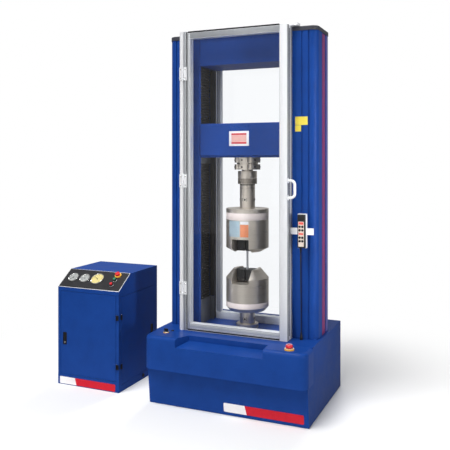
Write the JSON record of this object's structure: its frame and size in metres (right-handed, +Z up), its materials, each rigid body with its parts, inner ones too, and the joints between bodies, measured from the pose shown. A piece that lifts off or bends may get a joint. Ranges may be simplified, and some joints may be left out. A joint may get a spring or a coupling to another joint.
{
  "type": "universal testing machine",
  "caption": "Floor-standing two-column universal testing machine: moving crosshead, wedge grips, guard door, pendant and a separate hydraulic power unit.",
  "frame": {"origin": "on the floor under the loading axis, midway between the two columns", "axes": "+Z up along the loading axis, -Y towards the operator, +X to the operator's right"},
  "size_m": [1.711, 0.8025, 2.258],
  "materials": {
    "blue_paint": "satin",
    "dark_blue_paint": "satin",
    "blue_moulding": "satin",
    "ground_steel": "satin",
    "bright_steel": "polished",
    "dark_steel": "blackened",
    "anodised_profile": "satin anodised",
    "white_paint": "satin",
    "clear_pane": "clear polycarbonate",
    "black_bellows": "matte",
    "grey_paint": "satin",
    "dark_cap": "matte",
    "black_plastic": "matte",
    "white_plastic": "gloss",
    "red_plastic": "gloss",
    "yellow_plastic": "gloss",
    "green_plastic": "gloss",
    "cast_aluminium": "cast",
    "motor_black": "satin",
    "belt_rubber": "matte",
    "black_panel": "satin",
    "tank_paint": "satin"
  },
  "bodies": {
    "load_frame": {"base_frame": "dark_blue_paint", "worktable": "blue_paint", "side_panels": "blue_paint", "rear_panel": "blue_paint", "lower_front_panel": "blue_paint", "mains_inlet": "black_plastic", "front_cover": "blue_moulding", "right_column_cover": "blue_paint", "left_column_cover": "blue_paint", "column_caps": "dark_cap", "guide_rods": "bright_steel", "top_beam": "blue_paint", "lower_bellows": "black_bellows", "upper_bellows": "black_bellows", "bellows_skirts": "grey_paint", "drive_belt": "belt_rubber", "drive_motor": "motor_black", "lower_grip_stem": "ground_steel", "lower_lock_ring": "ground_steel", "lower_grip_body": "ground_steel", "test_specimen": "bright_steel", "rear_guard_frame": "anodised_profile", "rear_guard_panel": "clear_pane", "door_posts": "anodised_profile", "pendant_bracket": "white_paint", "pendant_case": "black_plastic", "cord_gland": "black_plastic", "pendant_cord": "black_plastic", "control_bezels": "yellow_plastic", "power_unit_case": "blue_paint", "power_unit_panel": "black_panel", "pressure_gauges": "bright_steel", "hydraulic_pump_set": "tank_paint"},
    "crosshead": {"moving_crosshead": "blue_paint", "crosshead_bushes": "bright_steel", "ball_nuts": "bright_steel", "load_cell": "ground_steel", "upper_adaptor": "ground_steel", "upper_grip_stem": "ground_steel", "upper_grip_body": "ground_steel", "bellows_flanges": "grey_paint"},
    "left_drive_screw": {"left_screw": "bright_steel"},
    "right_drive_screw": {"right_screw": "bright_steel"},
    "motor_drive_pulley": {"motor_pulley": "cast_aluminium"},
    "upper_left_wedge": {"upper_left_jaw": "dark_steel"},
    "upper_right_wedge": {"upper_right_jaw": "dark_steel"},
    "lower_left_wedge": {"lower_left_jaw": "dark_steel"},
    "lower_right_wedge": {"lower_right_jaw": "dark_steel"},
    "front_door": {"front_door_frame": "anodised_profile", "front_door_panel": "clear_pane", "door_handle": "white_plastic"},
    "stop_control": {"stop_button": "red_plastic"},
    "switch_control": {"power_switch": "black_plastic"},
    "unit_front_door": {"power_unit_front_door": "blue_paint"},
    "unit_side_door": {"power_unit_side_door": "dark_blue_paint"},
    "front_latch_paddle": {"front_latch": "black_plastic"},
    "side_latch_paddle": {"side_latch": "black_plastic"},
    "unit_stop_control": {"unit_stop_button": "red_plastic"},
    "unit_start_control": {"unit_start_button": "green_plastic"},
    "unit_off_control": {"unit_off_button": "red_plastic"}
  },
  "joints": [
    {"name": "crosshead_slide", "type": "slide", "parent": "load_frame", "child": "crosshead", "axis": [0, 0, 1], "range_m": [-0.08, 0.2], "deforming": ["upper_bellows", "lower_bellows"]},
    {"name": "left_screw_turn", "type": "hinge", "parent": "load_frame", "child": "left_drive_screw", "pos_m": [-0.38, 0, 0.421], "axis": [0, 0, 1], "continuous": true},
    {"name": "right_screw_turn", "type": "hinge", "parent": "load_frame", "child": "right_drive_screw", "pos_m": [0.38, 0, 0.421], "axis": [0, 0, 1], "continuous": true},
    {"name": "motor_pulley_turn", "type": "hinge", "parent": "load_frame", "child": "motor_drive_pulley", "pos_m": [0, -0.12, 0.3], "axis": [0, 0, 1], "continuous": true},
    {"name": "upper_left_jaw_slide", "type": "slide", "parent": "crosshead", "child": "upper_left_wedge", "axis": [-0.2079, 0, 0.9781], "range_m": [0, 0.025]},
    {"name": "upper_right_jaw_slide", "type": "slide", "parent": "crosshead", "child": "upper_right_wedge", "axis": [0.2079, 0, 0.9781], "range_m": [0, 0.025]},
    {"name": "lower_left_jaw_slide", "type": "slide", "parent": "load_frame", "child": "lower_left_wedge", "axis": [-0.2079, 0, -0.9781], "range_m": [0, 0.025]},
    {"name": "lower_right_jaw_slide", "type": "slide", "parent": "load_frame", "child": "lower_right_wedge", "axis": [0.2079, 0, -0.9781], "range_m": [0, 0.025]},
    {"name": "front_door_hinge", "type": "hinge", "parent": "load_frame", "child": "front_door", "pos_m": [-0.332, -0.234, 1.332], "axis": [0, 0, -1], "range_deg": [0, 110]},
    {"name": "stop_button_press", "type": "slide", "parent": "load_frame", "child": "stop_control", "axis": [0, 0, -1], "range_m": [0, 0.004], "stiffness_N_per_m": 2500, "springref_m": -0.002},
    {"name": "power_switch_turn", "type": "hinge", "parent": "load_frame", "child": "switch_control", "pos_m": [-0.4, -0.319, 0.43], "axis": [0, 0, -1], "range_deg": [0, 90]},
    {"name": "unit_front_door_hinge", "type": "hinge", "parent": "load_frame", "child": "unit_front_door", "pos_m": [-0.767, -0.306, 0.3], "axis": [0, 0, 1], "range_deg": [0, 110]},
    {"name": "unit_side_door_hinge", "type": "hinge", "parent": "load_frame", "child": "unit_side_door", "pos_m": [-0.742, -0.273, 0.3], "axis": [0, 0, -1], "range_deg": [0, 28]},
    {"name": "front_latch_lift", "type": "hinge", "parent": "unit_front_door", "child": "front_latch_paddle", "pos_m": [-1.157, -0.299, 0.3337], "axis": [-1, 0, 0], "range_deg": [0, 35], "stiffness_Nm_per_rad": 0.3},
    {"name": "side_latch_lift", "type": "hinge", "parent": "unit_side_door", "child": "side_latch_paddle", "pos_m": [-0.749, 0.108, 0.3337], "axis": [0, -1, 0], "range_deg": [0, 35], "stiffness_Nm_per_rad": 0.3},
    {"name": "unit_stop_press", "type": "slide", "parent": "load_frame", "child": "unit_stop_control", "axis": [0, 0.567, -0.8237], "range_m": [0, 0.003], "stiffness_N_per_m": 2000, "springref_m": -0.002},
    {"name": "unit_start_press", "type": "slide", "parent": "load_frame", "child": "unit_start_control", "axis": [0, 0.567, -0.8237], "range_m": [0, 0.003], "stiffness_N_per_m": 1200, "springref_m": -0.002},
    {"name": "unit_off_press", "type": "slide", "parent": "load_frame", "child": "unit_off_control", "axis": [0, 0.567, -0.8237], "range_m": [0, 0.003], "stiffness_N_per_m": 1200, "springref_m": -0.002}
  ],
  "couplings": [
    {"joint": "left_screw_turn", "follows": "crosshead_slide", "rad_per_m": 628.32},
    {"joint": "right_screw_turn", "follows": "crosshead_slide", "rad_per_m": 628.32},
    {"joint": "motor_pulley_turn", "follows": "crosshead_slide", "rad_per_m": 1151.9},
    {"joint": "upper_right_jaw_slide", "follows": "upper_left_jaw_slide", "ratio": 1},
    {"joint": "lower_right_jaw_slide", "follows": "lower_left_jaw_slide", "ratio": 1}
  ]
}
